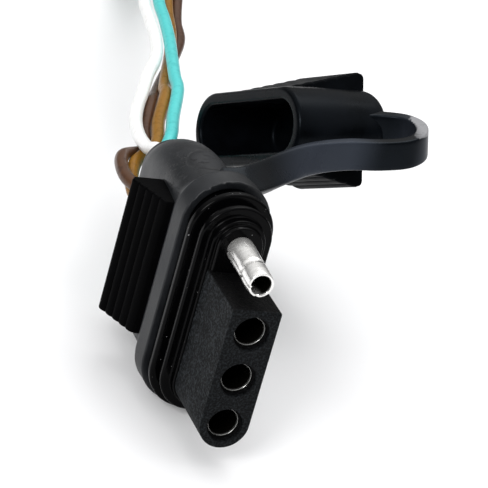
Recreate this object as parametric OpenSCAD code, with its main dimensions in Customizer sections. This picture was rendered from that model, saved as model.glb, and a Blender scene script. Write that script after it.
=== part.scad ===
// Four-way flat trailer wiring connector, vehicle side, with its tethered dust cap.
// The contact row stands upright with the male pin on top, the nose points to -Y and the
// wires leave to +Y. The origin is on the nose's front face, in the middle of the contact row.

/* [Contacts] */
// Distance between neighbouring contacts along the row
pitch = 9.5; // [9.4:0.1:9.8]
// Diameter of the male pin's bulb
pin_d = 5.2; // [4.4:0.1:5.4]
// Thickness of the sheet metal the contacts are rolled from
metal_t = 0.4; // [0.3:0.05:0.5]
// Diameter of the plastic mouth in front of each socket
mouth_d = 6.7; // [6.6:0.1:7.4]
// How far each socket sits behind the nose's front face
socket_inset = 1.2; // [1:0.2:4]
// How far the pin's tip stays behind the nose's front face
pin_inset = 1.2; // [0.5:0.1:4]

/* [Contact block] */
// Thickness of the nose
nose_w = 9.6; // [9.4:0.1:10.2]
// Length of the nose in front of the seal
nose_len = 14.3; // [12:0.1:17]

/* [Seal] */
// Thickness over the rear, larger sealing lip
lip_rear_w = 16.6; // [15:0.2:17]
// Thickness over the front, smaller sealing lip
lip_front_w = 14.2; // [12.4:0.2:14.6]

/* [Outer body] */
// Thickness of the body's band
band_w = 17.6; // [17:0.2:20]
// Height of the body's band along the contact row
band_h = 46.8; // [45:0.2:52]
// Length of the body behind the seal
body_len = 33.3; // [30:0.1:40]

/* [Grip] */
// Number of ribs on each grip pad
rib_count = 5; // [3:1:6]
// Height of the grip pads along the contact row
grip_h = 28; // [20:1:32]
// How far the grip pads stand out behind their last rib
grip_rise = 4.4; // [2:0.1:5]

/* [Dust cap] */
// Thickness of the cap
cap_w = 15.8; // [15:0.2:18]
// Length of the cap
cap_l = 42.6; // [41:0.2:48]
// Depth of the cap from mouth to closed end
cap_depth = 22; // [20:0.5:24]
// Wall of the cap round its cavity
cap_wall = 2.8; // [2:0.1:3]

/* [Strap] */
// Width of the strap
strap_w = 6; // [4:0.2:7]
// Thickness of the strap
strap_t = 2.4; // [1.6:0.1:2.8]

/* [Wires] */
// Diameter over each wire's insulation
wire_d = 2.8; // [2.2:0.1:2.8]
// Diameter of each wire's copper strands
core_d = 1.4; // [1:0.1:1.8]

/* [View] */
// The node to draw

/* [Hidden] */
$fn = 48;
eps = 0.01;

// contact heights
pin_z = 1.5 * pitch;
top_z = 0.5 * pitch;
middle_z = -0.5 * pitch;
bottom_z = -1.5 * pitch;

// contact block
nose_top_drop = 4.85;
nose_top = pin_z - nose_top_drop;
flange_start = nose_len + 1.6;
flange_len = 14;
flange_end = flange_start + flange_len;
block_half_h = pin_z + nose_w / 2;

// terminals
socket_bore_r = pin_d / 2;
socket_r = socket_bore_r + metal_t;
socket_end = 14.5;
socket_floor = 1;
barrel_r = 2;
barrel_end = flange_end + 4.1;
shank_r = pin_d / 2 - 0.1;
groove_r = shank_r - 0.25;
tip_r = pin_d / 2 - 0.25;
tip_hole_r = tip_r - metal_t;
tip_hole_depth = 8;
tip_slope_len = 0.9;
bulb_start = pin_inset + 1.7;
bulb_end = bulb_start + 2.4;
groove_start = bulb_end + 0.7;
groove_end = groove_start + 0.7;
slit_w = 0.5;
barrel_clear = 0.1;

// seal
seal_start = nose_len;
seal_shoulder_r = nose_w / 2 + 0.5;
seal_core_w = band_w - 3.4;
sleeve_end = flange_end;

// outer body
body_start = seal_start + 9.4;
body_end = body_start + body_len;
band_end = body_start + 4.6;
shoulder_w = band_w - 2.8;
hump_start = band_end + 3;
hump_w = band_w - 4.4;
hump_h = band_h - 5;
tail_w = band_w - 6.6;
tail_h = band_h - 17.8;
slice_t = 0.4;

// grip
rib_step = 2.13;
rib_slope = 24;
rib_r = 1;
rib_sink = 0.35;
grip_edge = 1;
grip_end = body_start + 18.2;

// wires
wire_r = wire_d / 2;
core_r = core_d / 2;
wire_start = barrel_end + 4;
wire_bend = wire_start + 2;
wire_exit_gap = wire_d + 0.5;
wire_leave = body_end + 0.6;
channel_r = wire_r + 0.1;
channel_lap = 0.8;
wire_sides = 8;
strip_len = 8;

// strap
hinge_gap = 0.3;
knuckle_r = strap_t / 2 - 0.1;
knuckle_w = strap_w - 1;
strap_edge = 0.5;

// dust cap
cap_floor = 4;
cap_rib_count = 6;
cap_rib_r = 1.4;
cap_rib_sink = 0.8;
cap_rise = 3.7;
cap_pad_start = 4.2;
cap_pad_end = 0.6;
cap_pad_l = 22;

// dust cap pose
cap_at = [21.4, 73.7, 12.7];
cap_turn = [90, -28.5, -82];

// ---------- flat outlines, drawn with x across and y along the contact row ----------

module oblong(w, h) {
    square([w, h - w], center = true);
    for (s = [-1, 1])
        translate([0, s * (h - w) / 2])
            circle(d = w);
}

module oblong_lying(w, l) {
    square([l - w, w], center = true);
    for (s = [-1, 1])
        translate([s * (l - w) / 2, 0])
            circle(d = w);
}

module nose_outline() {
    translate([-nose_w / 2, bottom_z])
        square([nose_w, nose_top - bottom_z]);
    translate([0, bottom_z])
        circle(d = nose_w);
}

// Stands an outline upright at y_start and runs it back towards the wires.
module run_back(y_start, y_end) {
    translate([0, y_start, 0])
        rotate([-90, 0, 0])
            mirror([0, 1, 0])
                linear_extrude(y_end - y_start)
                    children();
}

module rod(r, y_start, y_end, z) {
    translate([0, y_start, z])
        rotate([-90, 0, 0])
            cylinder(r = r, h = y_end - y_start);
}

// ---------- contact block ----------

module contact_block() {
    color([0.09, 0.09, 0.1])
        difference() {
            union() {
                run_back(0, flange_start)
                    nose_outline();
                run_back(flange_start, flange_end)
                    oblong(nose_w, 2 * block_half_h);
            }
            for (z = [top_z, middle_z, bottom_z]) {
                rod(mouth_d / 2, -eps, socket_inset, z);
                rod(socket_r, socket_inset - eps, socket_end, z);
                rod(barrel_r + barrel_clear, socket_end - eps, flange_end + eps, z);
            }
            rod(shank_r, flange_start - eps, flange_end + eps, pin_z);
        }
}

// ---------- terminals ----------

module socket_terminal(z) {
    difference() {
        union() {
            rod(socket_r, socket_inset, socket_end, z);
            rod(barrel_r, socket_end, barrel_end, z);
        }
        rod(socket_bore_r, socket_inset - eps, socket_end - socket_floor, z);
        rod(core_r, flange_end, barrel_end + eps, z);
        translate([-socket_r - 1, socket_inset - eps, z - slit_w / 2])
            cube([socket_r, socket_end - socket_inset - socket_floor, slit_w]);
    }
}

module top_socket() {
    color([0.8, 0.8, 0.79])
        socket_terminal(top_z);
}

module middle_socket() {
    color([0.8, 0.8, 0.79])
        socket_terminal(middle_z);
}

module bottom_socket() {
    color([0.8, 0.8, 0.79])
        socket_terminal(bottom_z);
}

module male_pin() {
    color([0.8, 0.8, 0.79])
        difference() {
            translate([0, 0, pin_z])
                rotate([-90, 0, 0])
                    rotate_extrude()
                        polygon([[0, pin_inset], [tip_r, pin_inset],
                            [shank_r, pin_inset + tip_slope_len], [pin_d / 2, bulb_start],
                            [pin_d / 2, bulb_end], [groove_r, groove_start],
                            [groove_r, groove_end], [shank_r, groove_end + 0.3],
                            [shank_r, flange_end], [barrel_r, flange_end],
                            [barrel_r, barrel_end], [0, barrel_end]]);
            rod(tip_hole_r, pin_inset - eps, pin_inset + tip_hole_depth, pin_z);
            rod(core_r, flange_end, barrel_end + eps, pin_z);
            translate([-shank_r - 1, pin_inset - eps, pin_z - slit_w / 2])
                cube([shank_r, nose_len - pin_inset, slit_w]);
        }
}

// ---------- seal sleeve ----------

module seal_sleeve() {
    y1 = seal_start + 1.2;
    y2 = seal_start + 2.8;
    y3 = y2 + 1.3;
    y4 = y3 + 1.6;
    y5 = y4 + 1.5;
    color([0.03, 0.03, 0.035])
        difference() {
            union() {
                run_back(seal_start, y1)
                    oblong(2 * seal_shoulder_r - 1, 2 * (pin_z + seal_shoulder_r) - 1);
                run_back(y1, y2)
                    oblong(2 * seal_shoulder_r, 2 * (pin_z + seal_shoulder_r));
                run_back(y2, y3)
                    oblong(lip_front_w, 2 * pin_z + lip_front_w);
                run_back(y3, y4)
                    oblong(lip_front_w - 1.8, 2 * pin_z + lip_front_w - 1.8);
                run_back(y4, y5)
                    oblong(lip_rear_w, 2 * pin_z + lip_rear_w);
                run_back(y5, sleeve_end)
                    oblong(seal_core_w, 2 * pin_z + seal_core_w);
            }
            run_back(seal_start - eps, flange_start + eps)
                nose_outline();
            run_back(flange_start, sleeve_end + eps)
                oblong(nose_w, 2 * block_half_h);
            rod(shank_r, seal_start - eps, flange_start + eps, pin_z);
        }
}

// ---------- outer body ----------

module tail_slice(y, w, h) {
    run_back(y, y + slice_t)
        oblong(w, h);
}

// The band round the seal, the shoulder behind it and the hump narrowing down to the wires.
module band_and_hump() {
    run_back(body_start, band_end)
        oblong(band_w, band_h);
    hull() {
        tail_slice(band_end - eps, band_w, band_h);
        tail_slice(hump_start, shoulder_w, hump_h);
    }
    hull() {
        tail_slice(hump_start, shoulder_w, hump_h);
        tail_slice(hump_start + 9, hump_w, hump_h - 0.6);
        tail_slice(hump_start + 14.5, hump_w - 0.3, hump_h - 1.6);
        tail_slice(hump_start + 18.5, hump_w - 0.6, hump_h - 3.6);
        tail_slice(hump_start + 22.5, hump_w - 1.1, hump_h - 7.4);
        tail_slice(body_end - slice_t, tail_w, tail_h);
    }
}

module grip_pad() {
    foot = tail_w / 2 - 0.3;
    rise_x = band_w / 2 + grip_rise;
    step_y = rib_step * cos(rib_slope);
    step_x = grip_rise / rib_count;
    first_y = grip_end - rib_count * step_y;
    translate([0, 0, -grip_h / 2])
        linear_extrude(grip_h) {
            polygon([[foot, first_y - grip_edge], [band_w / 2, first_y - grip_edge],
                [rise_x, grip_end - grip_edge], [rise_x, grip_end], [foot, grip_end]]);
            for (i = [0.5 : rib_count])
                translate([band_w / 2 + i * step_x - rib_sink, first_y + i * step_y])
                    circle(r = rib_r);
        }
}

// The channel from a contact's barrel to its wire's exit hole: straight, then slanting inwards.
// Turned a little about its own line, its seam stays off the body's middle plane.
module wire_channel(from_z, to_z) {
    run = wire_leave - wire_bend;
    drop = to_z - from_z;
    rod(channel_r, wire_start - eps, wire_bend + channel_lap, from_z);
    translate([0, wire_bend, from_z])
        rotate([-90 + atan2(drop, run), 0, 0])
            rotate(30)
                translate([0, 0, -channel_lap])
                    cylinder(r = channel_r, h = norm([run, drop]) + 2 * channel_lap);
}

module outer_body() {
    color([0.16, 0.17, 0.18])
        difference() {
            union() {
                band_and_hump();
                grip_pad();
                mirror([1, 0, 0])
                    grip_pad();
            }
            run_back(body_start - eps, sleeve_end)
                oblong(seal_core_w, 2 * pin_z + seal_core_w);
            for (z = [pin_z, top_z, middle_z, bottom_z])
                rod(barrel_r + barrel_clear, sleeve_end - eps, wire_start, z);
            for (i = [0 : 3])
                wire_channel((1.5 - i) * pitch, (1.5 - i) * wire_exit_gap);
        }
}

// ---------- cores inside the body ----------

module core(i) {
    rod(core_r, flange_end + 0.5, wire_start, (1.5 - i) * pitch);
}

module white_core() {
    color([0.72, 0.45, 0.28])
        core(0);
}

module brown_core() {
    color([0.72, 0.45, 0.28])
        core(1);
}

module yellow_core() {
    color([0.72, 0.45, 0.28])
        core(2);
}

module green_core() {
    color([0.72, 0.45, 0.28])
        core(3);
}

// ---------- swept shapes ----------

function unit(v) = v / norm(v);

// A smooth point between b and c, with a and d as the neighbours on either side.
function glide(a, b, c, d, t) =
    0.5 * (2 * b + (c - a) * t + (2 * a - 5 * b + 4 * c - d) * t * t
        + (3 * b - a - 3 * c + d) * t * t * t);

// A smooth run through the route, with `parts` steps between its points.
function smooth(route, parts) =
    let (n = len(route) - 1)
    concat([for (i = [0 : n - 1]) for (k = [0 : parts - 1])
        glide(route[max(i - 1, 0)], route[i], route[i + 1], route[min(i + 2, n)], k / parts)],
        [route[n]]);

function heading(path, i) =
    unit(path[min(i + 1, len(path) - 1)] - path[max(i - 1, 0)]);

// Carries the cross direction along the path, so the rings don't twist.
function carried(path, i, side) =
    let (t = heading(path, i), s = unit(side - (side * t) * t))
    i == len(path) - 1 ? [s] : concat([s], carried(path, i + 1, s));

// The side faces and the two closed ends of a stack of rings with k points each.
function skin(rings, k) =
    concat([[for (j = [0 : k - 1]) j]],
        [for (i = [0 : rings - 2]) for (j = [0 : k - 1])
            [i * k + j, (i + 1) * k + (j + 1) % k, i * k + (j + 1) % k]],
        [for (i = [0 : rings - 2]) for (j = [0 : k - 1])
            [i * k + j, (i + 1) * k + j, (i + 1) * k + (j + 1) % k]],
        [[for (j = [0 : k - 1]) rings * k - 1 - j]]);

module tube(path, r, sides) {
    side = carried(path, 0, [0, 0.1, 1]);
    pts = [for (i = [0 : len(path) - 1])
        let (s = side[i], u = cross(heading(path, i), s))
        for (j = [0 : sides - 1])
            path[i] + r * cos(360 * j / sides) * s + r * sin(360 * j / sides) * u];
    polyhedron(pts, skin(len(path), sides), convexity = 6);
}

// ---------- strap ----------

// The strap's route from inside the body, round its loop, to the cap's closed end.
strap_route = [[-0.8, 26.9, 21.4], [3.8, 28, 21.5], [8.2, 31.4, 21.3], [12.5, 35.3, 21],
    [16.9, 39.1, 20.9], [21.4, 42.4, 20.9], [26.4, 44.7, 21.1], [32.2, 46, 21.5],
    [38, 45.6, 22.2], [43.2, 45.3, 23.3], [46.6, 46.9, 24.1], [48.4, 50, 24.4],
    [48.6, 53.6, 24.1], [47.1, 56.9, 23.4], [43.4, 59.2, 22.4], [40, 60, 21.6]];
// The way the strap's width points at its root, and along its loop.
root_width = [0, 0.9, 0.43];
loop_width = [-0.24, 0.08, 0.97];
twist_start = 1;
twist_end = 7;
strap_parts = 3;
strap_path = smooth(strap_route, strap_parts);
reach_hinge = 2 * strap_parts;
return_hinge = 11 * strap_parts;
cap_hinge = 13 * strap_parts;
strap_last = len(strap_path) - 1;

function ease(t) = let (c = min(max(t, 0), 1)) c * c * (3 - 2 * c);

function strap_width_way(i) =
    let (t = heading(strap_path, i),
        e = ease((i / strap_parts - twist_start) / (twist_end - twist_start)),
        w = (1 - e) * root_width + e * loop_width)
    unit(w - (w * t) * t);

module strap_piece(first, last) {
    a = strap_w / 2;
    b = strap_t / 2;
    c = strap_edge;
    outline = [[a - c, -b], [a, c - b], [a, b - c], [a - c, b],
        [c - a, b], [-a, b - c], [-a, c - b], [c - a, -b]];
    pts = [for (i = [first : last])
        let (w = strap_width_way(i), n = cross(heading(strap_path, i), w))
        for (q = outline)
            strap_path[i] + q[0] * w + q[1] * n];
    polyhedron(pts, skin(last - first + 1, len(outline)), convexity = 6);
}

// A round bar across the strap at a hinge, along the hinge's axis.
module hinge_bar(i, r, w) {
    axis = strap_width_way(i);
    translate(strap_path[i])
        rotate([0, acos(axis[2]), atan2(axis[1], axis[0])])
            cylinder(r = r, h = w, center = true, $fn = 12);
}

module strap_root() {
    color([0.12, 0.13, 0.15])
        difference() {
            strap_piece(0, reach_hinge);
            hinge_bar(reach_hinge, knuckle_r + hinge_gap, strap_w + 4);
            band_and_hump($fn = 192);
        }
}

module strap_reach() {
    color([0.12, 0.13, 0.15])
        difference() {
            union() {
                strap_piece(reach_hinge, return_hinge);
                hinge_bar(reach_hinge, knuckle_r, knuckle_w);
            }
            hinge_bar(return_hinge, knuckle_r + hinge_gap, strap_w + 4);
        }
}

module strap_return() {
    color([0.12, 0.13, 0.15])
        difference() {
            union() {
                strap_piece(return_hinge, cap_hinge);
                hinge_bar(return_hinge, knuckle_r, knuckle_w);
            }
            hinge_bar(cap_hinge, knuckle_r + hinge_gap, strap_w + 4);
        }
}

module strap_end() {
    color([0.12, 0.13, 0.15])
        union() {
            strap_piece(cap_hinge, strap_last);
            hinge_bar(cap_hinge, knuckle_r, knuckle_w);
        }
}

// ---------- dust cap ----------

// Half of the cap's outer section, from its mouth at z 0 down to the rounded closed end.
module cap_section() {
    w = cap_w / 2;
    polygon([[0, 0], [w - 0.5, 0], [w, -0.5], [w, 3 - cap_depth], [w - 0.5, 1.6 - cap_depth],
        [w - 1.4, 0.6 - cap_depth], [w - 2.8, -cap_depth], [0, -cap_depth]]);
}

module cap_outside() {
    for (s = [-1, 1])
        translate([s * (cap_l - cap_w) / 2, 0, 0])
            rotate_extrude()
                cap_section();
    rotate([90, 0, 90])
        linear_extrude(cap_l - cap_w, center = true) {
            cap_section();
            mirror([1, 0])
                cap_section();
        }
}

// One ribbed grip on a flat side, rising towards the closed end.
module cap_pad() {
    y = cap_w / 2;
    run = cap_depth - cap_pad_start - cap_pad_end;
    rotate([90, 0, 90])
        linear_extrude(cap_pad_l, center = true) {
            polygon([[y - 2, -cap_pad_start], [y, -cap_pad_start],
                [y + cap_rise, 1 - cap_pad_start - run], [y + cap_rise - 1, -cap_pad_start - run],
                [y - 2, -cap_pad_start - run]]);
            for (i = [0.5 : cap_rib_count])
                translate([y + cap_rise * i / cap_rib_count - cap_rib_sink,
                    -cap_pad_start - run * i / cap_rib_count])
                    circle(r = cap_rib_r);
        }
}

module dust_cap_solid() {
    difference() {
        union() {
            cap_outside();
            cap_pad();
            mirror([0, 1, 0])
                cap_pad();
        }
        translate([0, 0, cap_floor - cap_depth])
            linear_extrude(cap_depth)
                oblong_lying(cap_w - 2 * cap_wall, cap_l - 2 * cap_wall);
    }
}

module dust_cap() {
    color([0.1, 0.11, 0.13])
        translate(cap_at)
            rotate(cap_turn)
                dust_cap_solid();
}

// ---------- wires ----------

// Each wire's route behind the body, over the back and round on the surface it lies on.
white_route = [[3, 70, 7], [3.5, 77, 4.5], [4.5, 85, 3], [6.5, 94, 2], [9.5, 103, 1.5],
    [13, 111, 2], [16, 118, 3.5], [20, 126, 4.5], [23.5, 137.5, 4.5], [25.5, 149, 4.5],
    [27.5, 160, 4.5], [31.5, 175, 5.5], [36, 189, 5], [40.5, 203, 1], [44.5, 216.5, -4.5],
    [48, 230.5, -11.5], [50.5, 244.5, -18], [51.5, 257, -21.5], [49.5, 268.5, -22],
    [43, 276.5, -22], [33.5, 280, -22], [24, 277, -22], [18, 269, -22], [16.5, 258, -22],
    [16.5, 246, -22], [16.5, 236, -22]];
brown_route = [[-1, 62, 1.5], [-3, 69, 1.5], [-0.5, 79.5, 1], [7, 87, -0.5], [10.5, 98, -0.5],
    [15, 109.5, 0.5], [18, 116, -0.5], [22.5, 125.5, -1], [28, 136.5, -1], [33.5, 148, 0.5],
    [36, 159, 1], [40, 172.5, 3.5], [45, 186, 4.5], [49.5, 200, 1.5], [53.5, 214.5, -4.5],
    [57, 228.5, -11.5], [59.5, 243, -18], [61, 257, -21.5], [58.5, 272, -22], [48.5, 284, -22],
    [33.5, 289.5, -22], [18.5, 284.5, -22], [9, 272.5, -22], [8, 263.5, -22]];
yellow_route = [[-0.5, 62, -1.5], [-1, 69, -1], [2, 78, 0.5], [8.5, 85.5, 1.5], [12.5, 97, 2],
    [17.5, 109, 3], [19.5, 115.5, 2], [23, 125, 2], [27.5, 137, 2], [31, 148.5, 2.5],
    [33.5, 159.5, 3], [37, 173, 5], [42, 187, 5], [46.5, 201, 1.5], [50.5, 215, -4.5],
    [54, 229.5, -11.5], [56.5, 243.5, -18], [57.5, 257, -21.5], [55.5, 270.5, -22],
    [47, 281.5, -22], [33.5, 286, -22], [20, 282, -22], [12, 271, -22], [10.5, 258, -22],
    [10.5, 251, -22]];
green_route = [[0.5, 62.5, -4.5], [1.5, 69, -3], [5, 76.5, 0], [10.5, 84, 3.5], [15, 96, 4],
    [19.5, 108, 5], [21, 115, 5], [23.5, 125, 5], [26.5, 137, 5], [29, 149, 5], [31, 160, 5],
    [34.5, 174, 6.5], [39, 188, 5.5], [43.5, 202, 1.5], [47.5, 216, -4.5], [51, 230, -11.5],
    [53.5, 244, -18], [54.5, 257, -21.5], [52.5, 269.5, -22], [45, 279, -22], [33.5, 283, -22],
    [22, 279.5, -22], [15, 270, -22], [13.5, 258, -22], [13.5, 246, -22], [13.5, 241, -22]];

// A wire's whole path: straight out of its contact's barrel, through its channel, then its route.
function wire_path(i, route) =
    concat([[0, wire_start, (1.5 - i) * pitch], [0, wire_bend, (1.5 - i) * pitch]],
        smooth(concat([[0, wire_leave, (1.5 - i) * wire_exit_gap]], route), 2));

module wire(i, route) {
    tube(wire_path(i, route), wire_r, wire_sides);
}

// The stripped strands at the wire's cut end.
module bare_end(i, route) {
    path = wire_path(i, route);
    last = path[len(path) - 1];
    color([0.72, 0.45, 0.28])
        tube([last, last + strip_len * heading(path, len(path) - 1)], core_r, wire_sides);
}

module white_wire() {
    color([0.9, 0.9, 0.88])
        wire(0, white_route);
}

module brown_wire() {
    color([0.3, 0.17, 0.09])
        wire(1, brown_route);
}

module yellow_wire() {
    color([0.8, 0.6, 0.15])
        wire(2, yellow_route);
}

module green_wire() {
    color([0.3, 0.8, 0.75])
        wire(3, green_route);
}

module white_bare_end() {
    bare_end(0, white_route);
}

module brown_bare_end() {
    bare_end(1, brown_route);
}

module yellow_bare_end() {
    bare_end(2, yellow_route);
}

module green_bare_end() {
    bare_end(3, green_route);
}

// ---------- the nodes ----------

outer_body();
seal_sleeve();
contact_block();
male_pin();
top_socket();
middle_socket();
bottom_socket();
white_core();
brown_core();
yellow_core();
green_core();
strap_root();
strap_reach();
strap_return();
strap_end();
dust_cap();
white_wire();
brown_wire();
yellow_wire();
green_wire();
white_bare_end();
brown_bare_end();
yellow_bare_end();
green_bare_end();
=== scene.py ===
# %% [markdown]
# # A flat trailer connector
# This lesson builds the looks of a four-way trailer wiring connector: a ribbed body, a stepped
# rubber seal, a black nose with three sockets, one bright bullet pin, four coloured leads and a
# dust cap on a soft strap. The working model is loaded first, with every piece at its real size,
# so nothing here moves or resizes it. The nose points to -Y, the leads leave to +Y, the contact
# row stands along Z and the strap is on +X, all in metres.

# %% The frame
import math
from functools import partialmethod

import bmesh
import bpy
import numpy as np
from mathutils import Matrix, Vector
from mathutils.geometry import delaunay_2d_cdt


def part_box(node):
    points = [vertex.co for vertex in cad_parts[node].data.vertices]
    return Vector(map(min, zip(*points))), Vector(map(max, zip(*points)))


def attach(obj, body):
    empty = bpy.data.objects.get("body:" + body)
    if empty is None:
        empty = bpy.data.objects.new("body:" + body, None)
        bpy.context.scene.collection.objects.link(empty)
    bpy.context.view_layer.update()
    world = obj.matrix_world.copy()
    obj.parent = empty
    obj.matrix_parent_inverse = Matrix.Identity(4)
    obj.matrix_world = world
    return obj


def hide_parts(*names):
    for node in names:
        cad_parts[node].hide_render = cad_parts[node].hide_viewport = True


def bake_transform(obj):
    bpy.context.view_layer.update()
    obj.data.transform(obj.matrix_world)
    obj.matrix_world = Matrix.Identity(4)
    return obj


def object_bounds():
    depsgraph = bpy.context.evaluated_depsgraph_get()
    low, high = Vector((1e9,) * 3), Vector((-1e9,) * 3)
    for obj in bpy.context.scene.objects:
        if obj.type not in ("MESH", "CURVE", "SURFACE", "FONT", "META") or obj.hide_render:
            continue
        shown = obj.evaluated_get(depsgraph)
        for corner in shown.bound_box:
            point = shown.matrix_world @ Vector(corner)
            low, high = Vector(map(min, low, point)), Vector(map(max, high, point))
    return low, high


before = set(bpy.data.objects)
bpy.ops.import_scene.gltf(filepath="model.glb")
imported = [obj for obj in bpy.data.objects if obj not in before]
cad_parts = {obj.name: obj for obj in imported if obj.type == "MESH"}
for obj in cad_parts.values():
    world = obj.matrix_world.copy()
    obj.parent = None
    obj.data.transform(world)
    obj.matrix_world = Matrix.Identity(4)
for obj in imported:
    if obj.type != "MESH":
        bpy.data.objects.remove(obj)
cad_box = [list(corner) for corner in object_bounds()]
print("CAD box", cad_box)

# %% [markdown]
# ## Sizes from the frame
# Whatever the working model already decides is read from its boxes, in millimetres: where the
# body, the seal, the nose and the contacts begin and end. The contacts stand in one row, 9.5 mm
# apart, which is the spacing of every flat connector of this kind.

# %% Sizes from the frame
MM = 0.001
PITCH = 9.5 * MM
ROW = 1.5 * PITCH
CONTACT_Z = [ROW, 0.5 * PITCH, -0.5 * PITCH, -ROW]


def span(node):
    """A node's lowest and highest corners in millimetres, to the nearest hundredth."""
    corners = [np.round(np.array(corner) / MM, 2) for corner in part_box(node)]
    print(node, *corners)
    return corners


(_, BODY_FRONT, _), (_, BODY_BACK, BODY_HALF_H) = span("outer_body")
(_, SEAL_FRONT, _), (SEAL_R, SEAL_BACK, _) = span("seal_sleeve")
_, (NOSE_R, BLOCK_BACK, _) = span("contact_block")
_, (PIN_R, BARREL_BACK, _) = span("male_pin")
(_, SLEEVE_FRONT, _), (SLEEVE_R, _, _) = span("top_socket")

# %% [markdown]
# ## The camera
# The camera comes first, because the cords are measured against what it sees. It stands a little
# to the left of the nose and above it, and it is rolled, so that the connector leans in the frame.
# A long lens keeps the far cap almost as large as the near nose.

# %% Camera
AZIMUTH = math.radians(25.36)
ELEVATION = math.radians(23.77)
ROLL = math.radians(16.1)
VIEW_DISTANCE = 471 * MM
VIEW_TARGET = Vector((-1.8, 9.8, 17.7)) * MM

reach = math.cos(ELEVATION)
back = Vector((-math.sin(AZIMUTH) * reach, -math.cos(AZIMUTH) * reach, math.sin(ELEVATION)))
level_right = Vector((math.cos(AZIMUTH), -math.sin(AZIMUTH), 0))
level_up = back.cross(level_right)
right = math.cos(ROLL) * level_right + math.sin(ROLL) * level_up
up = back.cross(right)
place = VIEW_TARGET + VIEW_DISTANCE * back

camera_data = bpy.data.cameras.new("camera")
camera_data.lens = 194.4
camera_data.sensor_width = 36
camera_data.clip_start = 0.01
camera = bpy.data.objects.new("camera", camera_data)
bpy.context.scene.collection.objects.link(camera)
camera.matrix_world = Matrix((
    (right.x, up.x, back.x, place.x),
    (right.y, up.y, back.y, place.y),
    (right.z, up.z, back.z, place.z),
    (0, 0, 0, 1),
))
bpy.context.scene.camera = camera
print("camera at", [round(v, 3) for v in place])

# %% [markdown]
# ## Surfaces from numpy
# Every new piece is a grid of points: rows along the piece and columns around it. One helper
# closes such a grid with an n-gon on each end, and another joins several into one piece. A solid
# could be cut from primitives with modifiers, but a grid keeps every ring where its formula puts
# it. Blender turns all faces outwards.

# %% Grid helpers
def grid_faces(rows, columns):
    """Quads between neighbouring rows of a closed ring: the last column joins the first."""
    i, j = np.meshgrid(np.arange(rows - 1), np.arange(columns), indexing="ij")
    k = (j + 1) % columns
    corners = [i * columns + j, i * columns + k, (i + 1) * columns + k, (i + 1) * columns + j]
    return np.stack(corners, axis=-1).reshape(-1, 4).tolist()


def shell(grid, start=True):
    """Points and faces of a grid of rings, with an n-gon over the last ring and, if asked, the first."""
    rows, columns = grid.shape[:2]
    faces = grid_faces(rows, columns)
    if start:
        faces.append(list(range(columns)))
    faces.append(list(range((rows - 1) * columns, rows * columns)))
    return grid.reshape(-1, 3), faces


def join(*parts):
    """Several (points, faces) pairs as one, each part's faces counted on from the last."""
    points, faces, first = [], [], 0
    for part_points, part_faces in parts:
        points.append(part_points)
        faces += [[first + v for v in face] for face in part_faces]
        first += len(part_points)
    return np.concatenate(points), faces


def make(name, part, smooth_angle=35, merge=False):
    """A mesh object from points and faces, turned outwards, smooth below the given angle."""
    points, faces = part
    mesh = bpy.data.meshes.new(name)
    mesh.from_pydata(np.asarray(points).tolist(), [], faces)
    work = bmesh.new()
    work.from_mesh(mesh)
    if merge:
        bmesh.ops.remove_doubles(work, verts=work.verts, dist=1e-7)
    bmesh.ops.recalc_face_normals(work, faces=work.faces)
    work.to_mesh(mesh)
    work.free()
    mesh.shade_smooth()
    mesh.set_sharp_from_angle(angle=math.radians(smooth_angle))
    piece = bpy.data.objects.new(name, mesh)
    bpy.context.scene.collection.objects.link(piece)
    print(name, len(mesh.vertices), "points", len(mesh.polygons), "faces")
    return piece


print("a grid of 3 rings of 4 points has", len(grid_faces(3, 4)), "faces")

# %% [markdown]
# ## Rounded profiles
# A moulding's section is given by its corners, and each corner by its radius, as on a drawing.
# The arc at a corner starts and ends where it touches both sides, so a profile needs no more
# points than its shape has corners. A smooth step does for whatever has to fade in.

# %% Profile helpers
def ease(t):
    """0 before 0, 1 after 1, and a smooth step between them: 3 t squared less 2 t cubed."""
    t = np.clip(t, 0, 1)
    return t * t * (3 - 2 * t)


def pair(a, b):
    """Rows (a, b), one for each point; a lone number is repeated."""
    return np.stack(np.broadcast_arrays(a, b), axis=1)


def rounded(corners, steps=6):
    """A profile through corners (a, b, radius), each corner an arc that touches both its sides."""
    flat = np.array([corner[:2] for corner in corners], float)
    line = [flat[:1]]
    for before, (a, b, radius), after in zip(flat[:-2], corners[1:-1], flat[2:]):
        here = np.array([a, b])
        into, out = (here - before), (after - here)
        into, out = into / np.linalg.norm(into), out / np.linalg.norm(out)
        turn = np.arccos(np.clip(into @ out, -1, 1))
        if radius <= 0 or turn < 1e-3:
            line.append(here[None])
            continue
        reach = radius * math.tan(turn / 2)
        share = np.linspace(0, 1, steps)[:, None]
        arc_in = np.sin((1 - share) * turn) / math.sin(turn)
        arc_out = np.sin(share * turn) / math.sin(turn)
        side = arc_in * into + arc_out * out
        start = here - reach * into
        inward = (out - into @ out * into) / math.sin(turn)
        centre = start + radius * inward
        spoke = side @ np.array([[0, 1], [-1, 0]])
        sign = np.sign((start - centre) @ spoke[0])
        line.append(centre + radius * sign * spoke)
    line.append(flat[-1:])
    return np.concatenate(line)


print("a corner of radius 1 becomes", len(rounded([(0, 0, 0), (4, 0, 1), (4, 4, 0)])) - 2, "points")

# %% [markdown]
# ## The oblong
# Almost every moulding here follows the same outline: two half circles at the ends of the contact
# row, joined by straight sides. A whole moulding is one profile, of distance from the row and
# place along Y, carried round it.

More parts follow.
